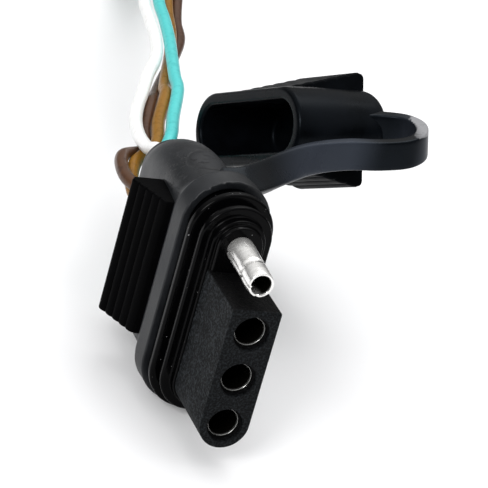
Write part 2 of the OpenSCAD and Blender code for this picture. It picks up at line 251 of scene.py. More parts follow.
# %% Oblong sweep
def around(arc, side):
    """cos, sin and which end (-1 to 1) for columns round an oblong: arcs, with sides between."""
    half = np.linspace(0, math.pi, arc, endpoint=False)
    run = np.linspace(1, -1, side, endpoint=False)
    straight = np.full(side, math.pi)
    angle = np.concatenate([half, straight, half + math.pi, 2 * straight])
    end = np.concatenate([np.ones(arc), run, -np.ones(arc), -run])
    return np.cos(angle), np.sin(angle), end


def oblong_grid(radius, along, half_run, columns):
    """x = r cos a, y = along, z = r sin a + end * half_run, with one row for each r and along."""
    c, s, end = columns
    radius, along, half_run = np.broadcast_arrays(radius, along, half_run)
    x = radius[:, None] * c
    y = along[:, None] * np.ones_like(c)
    z = radius[:, None] * s + half_run[:, None] * end
    return np.stack([x, y, z], axis=-1)


print("the body's oblong has", len(around(56, 30)[0]), "columns")

# %% [markdown]
# ## The leads
# The four leads are 16 gauge copper in a soft PVC jacket, 2.8 mm over the jacket. Each leaves
# its own hole in the body's tail, bunches with the others, rises over the middle and comes down
# onto the bench, where it bends round and ends in 8 mm of bare strands, as it is sold. A lead that
# lies free follows no formula, so its route is a list of points, given in millimetres,
# the same that the working model's leads pass through.

# %% Lead routes
LEAD_D = 2.8 * MM
STRAND_BUNDLE_D = 1.4 * MM
STRIP_LENGTH = 8 * MM
HOLE_STEP = 3.3 * MM
CRIMP_END = 52 * MM
FAN_IN = 55 * MM
LEAVE = 57.6 * MM

ROUTES = {
    "white": [(3, 70, 7), (3.5, 77, 4.5), (4.5, 85, 3), (6.5, 94, 2), (9.5, 103, 1.5),
        (13, 111, 2), (16, 118, 3.5), (20, 126, 4.5), (23.5, 137.5, 4.5), (25.5, 149, 4.5),
        (27.5, 160, 4.5), (31.5, 175, 5.5), (36, 189, 5), (40.5, 203, 1), (44.5, 216.5, -4.5),
        (48, 230.5, -11.5), (50.5, 244.5, -18), (51.5, 257, -21.5), (49.5, 268.5, -22),
        (43, 276.5, -22), (33.5, 280, -22), (24, 277, -22), (18, 269, -22), (16.5, 258, -22),
        (16.5, 246, -22), (16.5, 236, -22)],
    "brown": [(-1, 62, 1.5), (-3, 69, 1.5), (-0.5, 79.5, 1), (7, 87, -0.5), (10.5, 98, -0.5),
        (15, 109.5, 0.5), (18, 116, -0.5), (22.5, 125.5, -1), (28, 136.5, -1), (33.5, 148, 0.5),
        (36, 159, 1), (40, 172.5, 3.5), (45, 186, 4.5), (49.5, 200, 1.5), (53.5, 214.5, -4.5),
        (57, 228.5, -11.5), (59.5, 243, -18), (61, 257, -21.5), (58.5, 272, -22),
        (48.5, 284, -22), (33.5, 289.5, -22), (18.5, 284.5, -22), (9, 272.5, -22),
        (8, 263.5, -22)],
    "yellow": [(-0.5, 62, -1.5), (-1, 69, -1), (2, 78, 0.5), (8.5, 85.5, 1.5), (12.5, 97, 2),
        (17.5, 109, 3), (19.5, 115.5, 2), (23, 125, 2), (27.5, 137, 2), (31, 148.5, 2.5),
        (33.5, 159.5, 3), (37, 173, 5), (42, 187, 5), (46.5, 201, 1.5), (50.5, 215, -4.5),
        (54, 229.5, -11.5), (56.5, 243.5, -18), (57.5, 257, -21.5), (55.5, 270.5, -22),
        (47, 281.5, -22), (33.5, 286, -22), (20, 282, -22), (12, 271, -22), (10.5, 258, -22),
        (10.5, 251, -22)],
    "green": [(0.5, 62.5, -4.5), (1.5, 69, -3), (5, 76.5, 0), (10.5, 84, 3.5), (15, 96, 4),
        (19.5, 108, 5), (21, 115, 5), (23.5, 125, 5), (26.5, 137, 5), (29, 149, 5),
        (31, 160, 5), (34.5, 174, 6.5), (39, 188, 5.5), (43.5, 202, 1.5), (47.5, 216, -4.5),
        (51, 230, -11.5), (53.5, 244, -18), (54.5, 257, -21.5), (52.5, 269.5, -22),
        (45, 279, -22), (33.5, 283, -22), (22, 279.5, -22), (15, 270, -22), (13.5, 258, -22),
        (13.5, 246, -22), (13.5, 241, -22)],
}
print("route points", {colour: len(route) for colour, route in ROUTES.items()})

# %% [markdown]
# ## A tube along a line
# A lead or a strand is a ring carried along a smooth line. The ring must not spin on its way, so
# each takes its side direction from the one before, with only the part along the new heading taken
# off. A Blender curve with a bevel would do nearly the same.

# %% Lines and tubes
def smooth_line(points, steps):
    """A line through all points: each stretch is a cubic set by it and its two neighbours."""
    p = np.concatenate([points[:1], points, points[-1:]])
    t = (np.arange(steps) / steps)[None, :, None]
    a, b, c, d = (p[k : len(p) - 3 + k, None] for k in range(4))
    line = 0.5 * (2 * b + (c - a) * t + (2 * a - 5 * b + 4 * c - d) * t**2
        + (3 * b - a - 3 * c + d) * t**3)
    return np.concatenate([line.reshape(-1, 3), points[-1:]])


def unit(v):
    """v at length 1, row by row."""
    return v / np.linalg.norm(v, axis=-1, keepdims=True)


def frames(line):
    """Heading, side and third direction at each point, with the side carried on untwisted."""
    heading = unit(np.gradient(line, axis=0))
    sides = []
    side = np.array((0, 0.1, 1.0))
    for way in heading:
        side = side - (side @ way) * way
        side = side / np.linalg.norm(side)
        sides.append(side)
    sides = np.array(sides)
    return heading, sides, np.cross(heading, sides)


def tube_grid(line, radius, sides=20):
    """Rings round each point of a line: the point + r (cos a * side + sin a * third)."""
    heading, side, third = frames(line)
    angle = np.linspace(0, 2 * math.pi, sides, endpoint=False)[None, :, None]
    return line[:, None] + radius * (np.cos(angle) * side[:, None] + np.sin(angle) * third[:, None])


straight = np.linspace((0, 0, 0), (0, 4, 0), 5)
print("a tube through 5 points:", tube_grid(straight, 1).shape)

# %% [markdown]
# ## Jackets and bare strands
# At the far end the jacket is cut back and the copper shows: nineteen thin strands twisted
# together, one, then six, then twelve, so each is a tube on a helix. Inside the body every lead
# fans out towards its own contact. Each jacket is 300 mm of limp lead that ends bare.

# %% Leads and their bare ends
def strands(start, way, name):
    """Three layers of strands: start + s * way + layer (cos a * side + sin a * third), a rising with s."""
    side = unit(np.cross(way, [0, 0, 1.0]))
    third = np.cross(way, side)
    t = np.linspace(0, 1, 26)
    hidden = 1 * MM
    along = start + (t * (STRIP_LENGTH + hidden) - hidden)[:, None] * way
    strand_r = STRAND_BUNDLE_D / 10
    tubes = []
    for count, layer in ((1, 0), (6, 2 * strand_r), (12, 4 * strand_r)):
        for k in range(count):
            turn = 2 * math.pi * (k / count + 0.9 * t)
            offset = np.cos(turn)[:, None] * side + np.sin(turn)[:, None] * third
            tubes.append(shell(tube_grid(along + layer * offset, strand_r, 8)))
    return make(name, join(*tubes), 60)


for index, (colour, route) in enumerate(ROUTES.items()):
    hole_z = (1.5 - index) * HOLE_STEP
    free = [(x * MM, y * MM, z * MM) for x, y, z in route]
    line = smooth_line(np.array([(0, LEAVE, hole_z), *free]), 8)
    length = np.linalg.norm(np.diff(line, axis=0), axis=1).sum()
    inside = np.array([(0, place, share * CONTACT_Z[index] + (1 - share) * hole_z)
        for place, share in ((CRIMP_END, 0.32), (FAN_IN, 0.15))])
    line = np.concatenate([inside, line])
    lead = make(colour + "_lead", shell(tube_grid(line, LEAD_D / 2)), 60)
    bare = strands(line[-1], unit(line[-1] - line[-2]), colour + "_strands")
    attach(lead, "connector")
    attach(bare, "connector")
    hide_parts(colour + "_wire")
    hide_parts(colour + "_bare_end")
    print(colour, "lead", round(length / MM), "mm free")

# %% [markdown]
# ## Smooth outlines
# The body's thickness and height both change along Y, each through a few measured places. A cubic
# between each two places keeps the outline free of kinks. A second helper gives the small wander
# of a torn edge: a few sine waves round a ring, drawn from a seeded generator, so that each run
# gives the same edge.

# %% Outline helpers
def wander(angle, terms, seed):
    """A closed, repeatable wander round a ring: a few sine waves of rising count, seeded."""
    draw = np.random.default_rng(seed)
    total = np.zeros_like(angle)
    for count in terms:
        total = total + draw.uniform(0.5, 1) * np.sin(count * angle + draw.uniform(0, 2 * math.pi))
    return total / len(terms)


def through(y, knots):
    """A smooth height through (place, height) knots, with level ends: cubic between knots."""
    at, height = np.array(knots, float).T
    slope = np.gradient(height, at)
    slope[0] = 0
    k = np.clip(np.searchsorted(at, y, side="right") - 1, 0, len(at) - 2)
    step = at[k + 1] - at[k]
    t = np.clip((y - at[k]) / step, 0, 1)
    return ((2 * t**3 - 3 * t**2 + 1) * height[k] + (t**3 - 2 * t**2 + t) * step * slope[k]
        + (3 * t**2 - 2 * t**3) * height[k + 1] + (t**3 - t**2) * step * slope[k + 1])


print("halfway up to 2:", through(np.array([0.5]), [(0, 0), (1, 2)])[0])

# %% [markdown]
# ## The body
# The body is one soft PVC moulding. From its front edge a plain band runs back, then the
# shoulders draw in to a rounded tail where the leads come out. It is an oblong sweep: the height
# and the thickness each follow their own smooth curve along Y. Near the top of the front edge the
# mould has left a thin, torn flash. It could be bump in the finish, but it breaks the outline
# against the glossy seal, so it is real relief. Half height less half thickness is the half run.

# %% Body shell
BAND_R = 8.8
BAND_END = 28.2
THROAT_R = 7.15
TAIL_R = 2.4
HALF_THICKNESS = [(BODY_FRONT, BAND_R), (BAND_END, BAND_R), (29.5, 8.3), (31.5, 7.45), (35, 6.95),
    (40, 6.6), (46, 6.45), (50, 6.3), (54, 6.05), (BODY_BACK, 5.5)]
HALF_HEIGHT = [(BODY_FRONT, BODY_HALF_H), (BAND_END, BODY_HALF_H), (29.5, 22.6), (31.5, 21), (35, 20.6),
    (41, 20.6), (46, 20.1), (50, 19.1), (54, 17.2), (BODY_BACK, 14.5)]
FLASH_PLACE = 0.19
FLASH_WIDTH = 0.09
FLASH_LIMIT = 0.8

lip = rounded([(3.0, 30.5, 0), (THROAT_R, 30.5, 0.3), (THROAT_R, BODY_FRONT, 0.35),
    (BAND_R, BODY_FRONT, 0.3), (BAND_R, 27.5, 0)])
y = np.linspace(28, 56.2, 70)
half_thick = through(y, HALF_THICKNESS)
half_high = through(y, HALF_HEIGHT)
turn = np.linspace(0.15, 1, 10) * math.pi / 2
tail_y = BODY_BACK - TAIL_R + TAIL_R * np.sin(turn)
drawn_in = TAIL_R * (1 - np.cos(turn))
keep = y < BODY_BACK - TAIL_R
end_thick = np.interp(BODY_BACK - TAIL_R, y, half_thick)
end_high = np.interp(BODY_BACK - TAIL_R, y, half_high)
thick = np.concatenate([half_thick[keep], end_thick - drawn_in])
high = np.concatenate([half_high[keep], end_high - drawn_in])
place_y = np.concatenate([lip[:, 1], y[keep], tail_y])
radius = np.concatenate([lip[:, 0], thick])
half_run = np.concatenate([np.full(len(lip), BODY_HALF_H - BAND_R), high - thick])
grid = oblong_grid(radius * MM, place_y * MM, half_run * MM, around(56, 30))
angle = np.linspace(0, 2 * math.pi, grid.shape[1], endpoint=False)
near_edge = np.exp(-((place_y - BODY_FRONT) / 0.5) ** 2) * (radius > 7.5)
near_top = 0.15 + 1.5 * np.exp(-((angle / (2 * math.pi) - FLASH_PLACE) / FLASH_WIDTH) ** 2)
ragged = near_top * np.abs(wander(angle, (31, 57, 83, 111), 3))
grid[..., 1] -= near_edge[:, None] * MM * np.minimum(ragged, FLASH_LIMIT)
body = make("body_shell", shell(grid), 40)
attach(body, "connector")
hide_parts("outer_body")

# %% [markdown]
# ## The grips
# Each broad side carries a wedge of five ribs, so that wet fingers can pull the plug out. The
# ribs run along the contact row and each stands further out than the one in front. The wedge is a
# scalloped outline in X and Y, carried along Z, with its two ends drawn in a little.

# %% Grip pads
RIBS = 5
RIB_RISE = 0.62
GRIP_FRONT = 32.1
GRIP_REAR = 41.9
GRIP_FOOT = 5.4
GRIP_START = 8.55
GRIP_RISE = 4.4
GRIP_HALF_H = 14
GRIP_END_ROUND = 0.5


def scallops(t, count):
    """A run of half-round lobes for t from 0 to 1: the root of 1 - (2 f - 1) squared, f within a lobe."""
    return np.sqrt(np.clip(1 - (2 * ((t * count) % 1) - 1) ** 2, 0, 1))


def grip_outline():
    """x and y along the wedge: a foot inside the body, a run of half-round ribs, the back face."""
    t = np.linspace(0, 1, RIBS * 9 + 1)
    lobe = scallops(t, RIBS) * RIB_RISE
    lobe[-1] = 0
    x = GRIP_START + t * (GRIP_RISE - 0.35) + lobe
    y = GRIP_FRONT + t * (GRIP_REAR - 0.5 - GRIP_FRONT)
    corners = [(x[-1], y[-1], 0), (x[-1] + 0.05, GRIP_REAR, 0.35), (GRIP_FOOT, GRIP_REAR, 0)]
    return np.concatenate([[(GRIP_FOOT, GRIP_FRONT)], pair(x, y), rounded(corners, 4)[1:]])


def rounded_ends(half, radius, middle):
    """Places from -half to half, crowded into a quarter round at each end, with middle between."""
    step = radius * (1 - np.cos(np.linspace(0, math.pi / 2, 6)))
    return np.concatenate([-half + step, middle, half - step[::-1]])


def end_sink(z, half, radius, depth):
    """How far a pad sinks near its ends: depth (1 - root of 1 - e squared), e rising in the last radius."""
    e = np.clip((np.abs(z) - (half - radius)) / radius, 0, 1)
    return depth * (1 - np.sqrt(1 - e**2))


def grip_pad(side):
    """The outline carried along Z; near each end it shrinks towards its foot by a quarter round."""
    outline = grip_outline()
    z = rounded_ends(GRIP_HALF_H, GRIP_END_ROUND, np.linspace(-13, 13, 18))[:, None]
    sink = end_sink(z, GRIP_HALF_H, GRIP_END_ROUND, 0.35)
    x = outline[:, 0] - np.where(outline[:, 0] > 8, sink, 0)
    x, y, z = np.broadcast_arrays(x, outline[:, 1], z)
    return shell(np.stack([side * x, y, z], axis=-1) * MM)


grips = make("grip_pads", join(grip_pad(1), grip_pad(-1)), 50)
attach(grips, "connector")

# %% [markdown]
# ## The seal
# Behind the nose sits a glossy sleeve with two sealing lips, the rear one larger, and a boss of
# two low steps round the pin. All of it is concentric with the contact row, so it is one profile
# with rounded corners, carried round the oblong.

# %% Seal sleeve
SLEEVE_TUBE_R = 7.1
STEP_R = 6.0
SEAL_PROFILE = [(1.0, SEAL_FRONT, 0), (4.3, SEAL_FRONT, 0.25), (4.45, 15.4, 0.2), (5.2, 15.4, 0.3),
    (5.3, 17.1, 0.35), (SLEEVE_TUBE_R, 17.1, 0.45), (SLEEVE_TUBE_R, 18.5, 0.4), (STEP_R, 18.7, 0.4),
    (STEP_R, 19.9, 0.35), (SEAL_R, 20.0, 0.5), (SEAL_R, 21.5, 0.5), (SLEEVE_TUBE_R, 21.8, 0.3),
    (SLEEVE_TUBE_R, SEAL_BACK, 0.2), (4.0, SEAL_BACK, 0)]
profile = rounded(SEAL_PROFILE, 8) * MM
seal = make("seal", shell(oblong_grid(profile[:, 0], profile[:, 1], ROW, around(56, 20))), 40)
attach(seal, "connector")
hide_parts("seal_sleeve")

# %% [markdown]
# ## The nose
# The nose is a hard black moulding with a flat top under the pin and a round lower end. Its side
# is the outline carried back along Y with a small round over at the front. Its face has three
# round mouths, and each is a small profile turned about its own contact. The contacts are turned
# in the same way.

# %% Nose outline
NOSE_TOP = 9.4
NOSE_EDGE = 0.3
NOSE_BACK = 16.0
CORNER_R = 0.45
MOUTH_R = 3.35
MOUTH_DEPTH = SLEEVE_FRONT
MOUTH_EDGE = 0.17


def nose_outline(inset):
    """The D outline, drawn in by inset: flat top with small corner arcs, sides, round bottom."""
    r = NOSE_R - inset
    top = NOSE_TOP - inset
    low = CONTACT_Z[-1] / MM
    c = max(CORNER_R - inset, 0.05)
    corner = np.linspace(0, math.pi / 2, 7)
    under = np.linspace(math.pi, 2 * math.pi, 49)
    down = np.linspace(top - c, low, 22)[1:-1]
    return np.concatenate([
        pair(r - c + c * np.cos(corner), top - c + c * np.sin(corner)),
        pair(np.linspace(r - c, c - r, 10)[1:-1], top),
        pair(c - r - c * np.sin(corner), top - c + c * np.cos(corner)),
        pair(-r, down),
        pair(r * np.cos(under), low + r * np.sin(under)),
        pair(r, down[::-1]),
    ])


def turned(profile, centre_z, sides):
    """A (radius, y) profile turned about the line along Y through the contact at centre_z."""
    angle = np.linspace(0, 2 * math.pi, sides, endpoint=False)
    x = profile[:, :1] * np.cos(angle)
    z = profile[:, :1] * np.sin(angle) + centre_z
    y = np.broadcast_to(profile[:, 1:], x.shape)
    return np.stack([x, y, z], axis=-1)


print("the nose's outline has", len(nose_outline(0)), "points")

# %% [markdown]
# ## The face of the nose
# The face is flat but for three round mouths, so a sweep can't make it. It is filled by a
# triangulation that keeps every edge of the outline and the mouths, less the triangles that fall
# inside a mouth. Merging the doubled points on the shared edges makes one closed skin.

# %% Nose
def nose_face(loops):
    """A flat mesh at y = 0 between the first loop and the holes that the other loops leave."""
    flat = [Vector((p[0], p[2])) for loop in loops for p in loop]
    ends = np.cumsum([len(loop) for loop in loops]).tolist()
    rings = [list(range(first, end)) for first, end in zip([0, *ends], ends)]
    rim = loops[0]
    if np.cross(rim[1, ::2] - rim[0, ::2], rim[2, ::2] - rim[1, ::2]) < 0:
        rings[0].reverse()
    rings[1:] = [ring[::-1] for ring in rings[1:]]
    found, _, triangles, *_ = delaunay_2d_cdt(flat, [], rings, 1, 1e-9)
    spots = np.array([[s.x, s.y] for s in found])
    centres = np.array([[0, z] for z in CONTACT_Z[1:]])
    middles = np.array([spots[list(face)].mean(0) for face in triangles])
    nearest = np.linalg.norm(middles[:, None] - centres[None], axis=-1).min(1)
    points = np.stack([spots[:, 0], np.zeros(len(spots)), spots[:, 1]], 1)
    return points, [list(f) for f, far in zip(triangles, nearest) if far > (MOUTH_R + MOUTH_EDGE) * MM]


turn = np.linspace(0, math.pi / 2, 6)
insets = np.concatenate([NOSE_EDGE * (1 - np.sin(turn)), [0, 0]])
along = np.concatenate([NOSE_EDGE * (1 - np.cos(turn)), [NOSE_BACK / 2, NOSE_BACK]])
outside = np.array([np.insert(nose_outline(i), 1, y, axis=1) for i, y in zip(insets, along)]) * MM
mouth = rounded([(MOUTH_R + 0.18, 0, 0), (MOUTH_R, 0.0, MOUTH_EDGE), (MOUTH_R, MOUTH_DEPTH, 0.1),
    (3.02, MOUTH_DEPTH, 0.05), (3.02, 14.4, 0.1), (1.0, 14.4, 0)], 5) * MM
grids = [outside] + [turned(mouth, z, 64) for z in CONTACT_Z[1:]]
face = nose_face([grid[0] for grid in grids])
open_sides = [shell(grid, start=False) for grid in grids]
block = make("nose", join(open_sides[0], face, *open_sides[1:]), 30, merge=True)
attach(block, "connector")
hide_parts("contact_block")

# %% [markdown]
# ## The pin
# The bullet pin is rolled from tinned sheet: its seam is a shallow groove along one side, the tip
# is left open and a fine ring is rolled behind the bulb. It is a turned profile, bore, rim and
# outside, whose radius is r less the seam's dip. A used pin stands a little off its line, so the
# tip leans.

# %% Pin
SEAM_ANGLE = math.radians(192)
NOTCH_ANGLE = math.radians(262)
PIN_LEAN_X = 0.35
PIN_LEAN_Z = 0.25
PIN_PROFILE = [(0.6, 9.0, 0), (1.92, 9.0, 0.3), (1.92, 1.3, 0.12), (2.38, 1.2, 0.16), (2.52, 2.2, 0.8),
    (PIN_R, 3.3, 1.2), (PIN_R, 5.2, 0.6), (2.28, 5.85, 0.25), (2.26, 6.45, 0.25), (2.52, 7.0, 0.5),
    (2.54, 9.5, 1.5), (2.62, 12.5, 1.5), (PIN_R, 18, 0), (2.5, BLOCK_BACK, 0.2), (2.0, 30.0, 0.1),
    (2.0, BARREL_BACK, 0.2), (0.4, BARREL_BACK, 0)]


def seam_dip(angle, at, width, depth):
    """A rounded groove of the given depth along the line at one angle."""
    away = (angle - at + math.pi) % (2 * math.pi) - math.pi
    return depth * np.exp(-((away / width) ** 2))


profile = rounded(PIN_PROFILE, 7)
r, y = profile[:, :1], profile[:, 1:]
angle = np.linspace(0, 2 * math.pi, 96, endpoint=False)
lumps = 0.03 * np.sin(2 * angle + 0.6 * y) * np.exp(-((y - 9) / 3) ** 2)
radius = r - seam_dip(angle, SEAM_ANGLE, 0.09, 0.32) * (r > 2.0)
radius = radius + lumps * (r > 2.3)
notch = seam_dip(angle, NOTCH_ANGLE, 0.11, 0.3) * np.exp(-((y - 1.3) / 0.5) ** 2)
lean = np.clip(1 - y / 14, 0, 1)
x = radius * np.cos(angle) - PIN_LEAN_X * lean
z = radius * np.sin(angle) - PIN_LEAN_Z * lean
pin = make("bullet_pin", shell(np.stack([x * MM, (y + notch) * MM, z * MM + ROW], axis=-1)), 50)
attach(pin, "connector")
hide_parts("male_pin")

# %% [markdown]
# ## The sockets
# A socket is the pin's opposite: a sleeve of the same tinned sheet with a crimp barrel behind it.
# It is slit along one side, so that it springs on to a pin, and it sits a little back from the
# nose's face. Inside the mouth only its rolled rim shows, as a thin bright ring.

# %% Sockets
BORE_R = 2.6
BORE_END = 13.5
SLEEVE_PROFILE = [(0.5, BORE_END, 0), (BORE_R, BORE_END, 0.3), (BORE_R, 2.6, 0.5), (2.74, 1.35, 0.06),
    (2.84, SLEEVE_FRONT, 0.05), (2.94, 1.35, 0.06), (SLEEVE_R, 1.9, 0.2), (SLEEVE_R, 14.5, 0.2),
    (2.0, 14.6, 0.1), (2.0, BARREL_BACK, 0.2), (0.4, BARREL_BACK, 0)]


def socket_part(centre_z):
    """The sleeve's profile turned about its contact, its front edge pushed back where it is slit."""
    profile = rounded(SLEEVE_PROFILE, 6)
    grid = turned(profile * MM, centre_z, 72)
    angle = np.linspace(0, 2 * math.pi, 72, endpoint=False)
    at_front = np.exp(-((profile[:, 1:] - SLEEVE_FRONT) / 0.25) ** 2)
    grid[..., 1] += seam_dip(angle, math.pi, 0.09, 1.1 * MM) * at_front
    return shell(grid)


for name, z in zip(("top", "middle", "bottom"), CONTACT_Z[1:]):
    sleeve = make(name + "_sleeve", socket_part(z), 40)
    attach(sleeve, "connector")
    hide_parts(name + "_socket")

# %% [markdown]
# ## The strap
# The strap is moulded with the body and the cap: a flat ribbon with eased edges that leaves the
# body's side, twists a quarter turn and loops back to the cap. Its width way turns from the root's
# to the loop's as it goes, and only the part square to the line is kept.

# %% Strap
STRAP_W = 6 * MM
STRAP_T = 2.4 * MM
STRAP_ROUTE = np.array([(-0.8, 26.9, 21.4), (3.8, 28, 21.5), (8.2, 31.4, 21.3), (12.5, 35.3, 21),
    (16.9, 39.1, 20.9), (21.4, 42.4, 20.9), (26.4, 44.7, 21.1), (32.2, 46, 21.5), (38, 45.6, 22.2),
    (43.2, 45.3, 23.3), (46.6, 46.9, 24.1), (48.4, 50, 24.4), (48.6, 53.6, 24.1), (47.1, 56.9, 23.4),
    (43.4, 59.2, 22.4), (40, 60, 21.6)]) * MM
ROOT_WIDTH = np.array([0, 0.9, 0.43])
LOOP_WIDTH = np.array([-0.24, 0.08, 0.97])
STRAP_STEPS = 8
STRAP_EDGE_R = 0.45 * MM
TWIST_FROM, TWIST_OVER = 1, 6


def strap_section():
    """A rectangle with rounded edges, as points across (width, thickness), going round once."""
    a, b, r = STRAP_W / 2, STRAP_T / 2, STRAP_EDGE_R
    turn = np.linspace(0, math.pi / 2, 5)
    parts = []
    for k, (x, y) in enumerate(((a - r, b - r), (r - a, b - r), (r - a, r - b), (a - r, r - b))):
        angle = turn + k * math.pi / 2
        parts.append(pair(x + r * np.cos(angle), y + r * np.sin(angle)))
        if k in (0, 2):
            way = 1 - k
            parts.append(pair(way * np.linspace(a - r, r - a, 9)[1:-1], way * b))
    return np.concatenate(parts)


strap_line = smooth_line(STRAP_ROUTE, STRAP_STEPS)
heading = unit(np.gradient(strap_line, axis=0))
share = ease((np.arange(len(strap_line)) / STRAP_STEPS - TWIST_FROM) / TWIST_OVER)[:, None]
width = (1 - share) * ROOT_WIDTH + share * LOOP_WIDTH
strap_width = unit(width - (width * heading).sum(1, keepdims=True) * heading)
strap_thick = np.cross(heading, strap_width)
print("the strap is", round(np.linalg.norm(np.diff(strap_line, axis=0), axis=1).sum() / MM), "mm long")

# %% [markdown]
# ## Three lengths
# The strap bends in use, so it is three lengths. A length runs
# between two places on the route, and names the bodies it joins and where its bend begins and
# ends.

# %% Strap lengths
STRAP_LENGTHS = [("strap_at_body", 0, 6, "connector", "strap_reach", 1.2, 2.8, ["strap_root"]),
    ("strap_loop", 6, 12, "strap_reach", "strap_return", 10, 12, ["strap_reach", "strap_return"]),
    ("strap_at_cap", 12, 15, "strap_return", "cap", 12.2, 13.8, ["strap_end"])]


def ribbon(first, last):
    """Rings from one place to another: line + a * width way + b * thickness way, for section (a, b)."""
    pick = slice(first * STRAP_STEPS, last * STRAP_STEPS + 1)
    a, b = strap_section().T[..., None]
    return shell(strap_line[pick, None] + a * strap_width[pick, None] + b * strap_thick[pick, None])


for name, first, last, before, after, bend_from, bend_to, nodes in STRAP_LENGTHS:
    strap = make(name, ribbon(first, last), 40)
    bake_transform(strap)
    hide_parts(*nodes)

# %% [markdown]
# ## The dust cap
# The cap is a deep oblong cup that pushes over the nose and the seal. It lies on its side with its
# mouth towards the leads' left. Its profile runs from the cavity's floor up the wall, over the
# rim and down the outside to the closed end. It is made upright round its own mouth, then turned
# and moved to where the strap holds it.

# %% Cap
CAP_AT = np.array([21.4, 73.7, 12.7])
CAP_TURN = [math.radians(a) for a in (90, -28.5, -82)]
CAP_R = 7.9
CAP_RUN = 13.4
CAP_DEPTH = 22
CAVITY_R = 5.1
CAVITY_DEPTH = 18


def turn_about(axis, angle):
    """The rotation matrix about X, Y or Z (0, 1, 2) by an angle."""
    c, s = math.cos(angle), math.sin(angle)
    i, j = [(1, 2), (2, 0), (0, 1)][axis]
    matrix = np.eye(3)
    matrix[i, i] = matrix[j, j] = c
    matrix[i, j], matrix[j, i] = -s, s
    return matrix


CAP_AXES = turn_about(2, CAP_TURN[2]) @ turn_about(1, CAP_TURN[1]) @ turn_about(0, CAP_TURN[0])


def on_cap(points):
    """Points drawn round the cap's mouth (long way, thickness, outwards), in the frame's place."""
    return (points @ CAP_AXES.T + CAP_AT) * MM


profile = rounded([(1.0, -CAVITY_DEPTH, 0), (CAVITY_R, -CAVITY_DEPTH, 1.0), (CAVITY_R + 0.1, 0, 0.7),
    (CAP_R - 0.15, 0, 1.1), (CAP_R, -8, 4), (CAP_R - 0.2, -CAP_DEPTH, 3.4), (1.5, -CAP_DEPTH, 0)], 12)
grid = oblong_grid(profile[:, 0], profile[:, 1], CAP_RUN, around(48, 24))
cap = make("cap_shell", shell(on_cap(grid[..., [2, 0, 1]])), 40)
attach(cap, "cap")
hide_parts("dust_cap")

# %% [markdown]
# ## The cap's pads
# Both broad sides of the cap carry ribs like the body's, as a wedge that is low towards the mouth
# and high at the closed end. The same scallops and drawn-in ends serve for both.

# %% Cap pads
CAP_RIBS = 6
CAP_RIB_RISE = 0.35
PAD_START = -4.2
PAD_LENGTH = 16.4
PAD_RISE = 3.7
PAD_BACK = -21.4
PAD_FOOT = 6.0
PAD_HALF = 11
PAD_END_ROUND = 0.6


def cap_pad(side):
    """A scalloped wedge on a broad side: low towards the mouth, higher at the closed end."""
    t = np.linspace(0, 1, CAP_RIBS * 9 + 1)
    depth = PAD_START - t * PAD_LENGTH
    height = CAP_R - 0.1 + PAD_RISE * t + scallops(t, CAP_RIBS) * CAP_RIB_RISE
    corners = [(depth[-1], height[-1], 0), (PAD_BACK, height[-1], 0.7), (PAD_BACK, PAD_FOOT, 0)]
    outline = np.concatenate([[(depth[0], PAD_FOOT)], pair(depth, height), rounded(corners, 5)[1:]])
    along = rounded_ends(PAD_HALF, PAD_END_ROUND, np.linspace(-9, 9, 12))[:, None]
    sink = end_sink(along, PAD_HALF, PAD_END_ROUND, 0.5)
    high = outline[:, 1] - np.where(outline[:, 1] > 6.5, sink, 0)
    along, high, deep = np.broadcast_arrays(along, side * high, outline[:, 0])
    return shell(on_cap(np.stack([along, high, deep], axis=-1)))


cap_grips = make("cap_pads", join(cap_pad(1), cap_pad(-1)), 50)
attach(cap_grips, "cap")

# %% [markdown]
# ## Shader maths
# A finish is a small tree of nodes. Writing it node by node hides the sums, so a number socket is
# wrapped in a class that knows + - * and powers, and a smooth step. Each sum adds one node.

# %% Numbers in a shader
class Value:
    """A number socket that can be used in sums; each sum adds one Math node."""

    def __init__(self, nodes, socket):
        self.nodes, self.socket = nodes, socket

    def math(self, operation, *others):
        """One Math node of the named operation, with this number first."""
        made = self.nodes.add("ShaderNodeMath", dict(operation=operation), self, *others)
        return Value(self.nodes, made.outputs[0])

    def __rsub__(self, other):
        return (self * -1) + other

    __add__ = __radd__ = partialmethod(math, "ADD")
    __mul__ = __rmul__ = partialmethod(math, "MULTIPLY")
    __sub__ = partialmethod(math, "SUBTRACT")
    __pow__ = partialmethod(math, "POWER")

    def step(self, low, high):
        """0 below low, 1 above high, smooth between."""
        made = self.nodes.add("ShaderNodeMapRange", dict(interpolation_type="SMOOTHSTEP"), self, low, high)
        return Value(self.nodes, made.outputs[0])


class Tree:
    """A node tree, with one method that adds any node and joins it to what feeds it."""

    def __init__(self, tree):
        self.tree = tree

    def add(self, kind, settings, *values, **named):
        """A node of a kind: its settings, then values or links for its sockets, in order or by name."""
        node = self.tree.nodes.new(kind)
        for key, setting in settings.items():
            setattr(node, key, setting)
        by_name = [(node.inputs[key.replace("_", " ")], value) for key, value in named.items()]
        for socket, value in [*zip(node.inputs, values), *by_name]:
            self.join(socket, value)
        return node

    def join(self, socket, value):
        """A link into a socket, if the value comes from a node, or else the value itself."""
        if isinstance(value, Value):
            value = value.socket
        if isinstance(value, bpy.types.NodeSocket):
            self.tree.links.new(value, socket)
        else:
            socket.default_value = value

# %% [markdown]
# ## A finish
# Every finish starts from the same Principled shader. What varies on it comes from noise, which
# reads object coordinates; here those are metres in the shared frame, so a pattern has a real
# size and runs on from piece to piece. An image texture would need an unwrapped surface first.

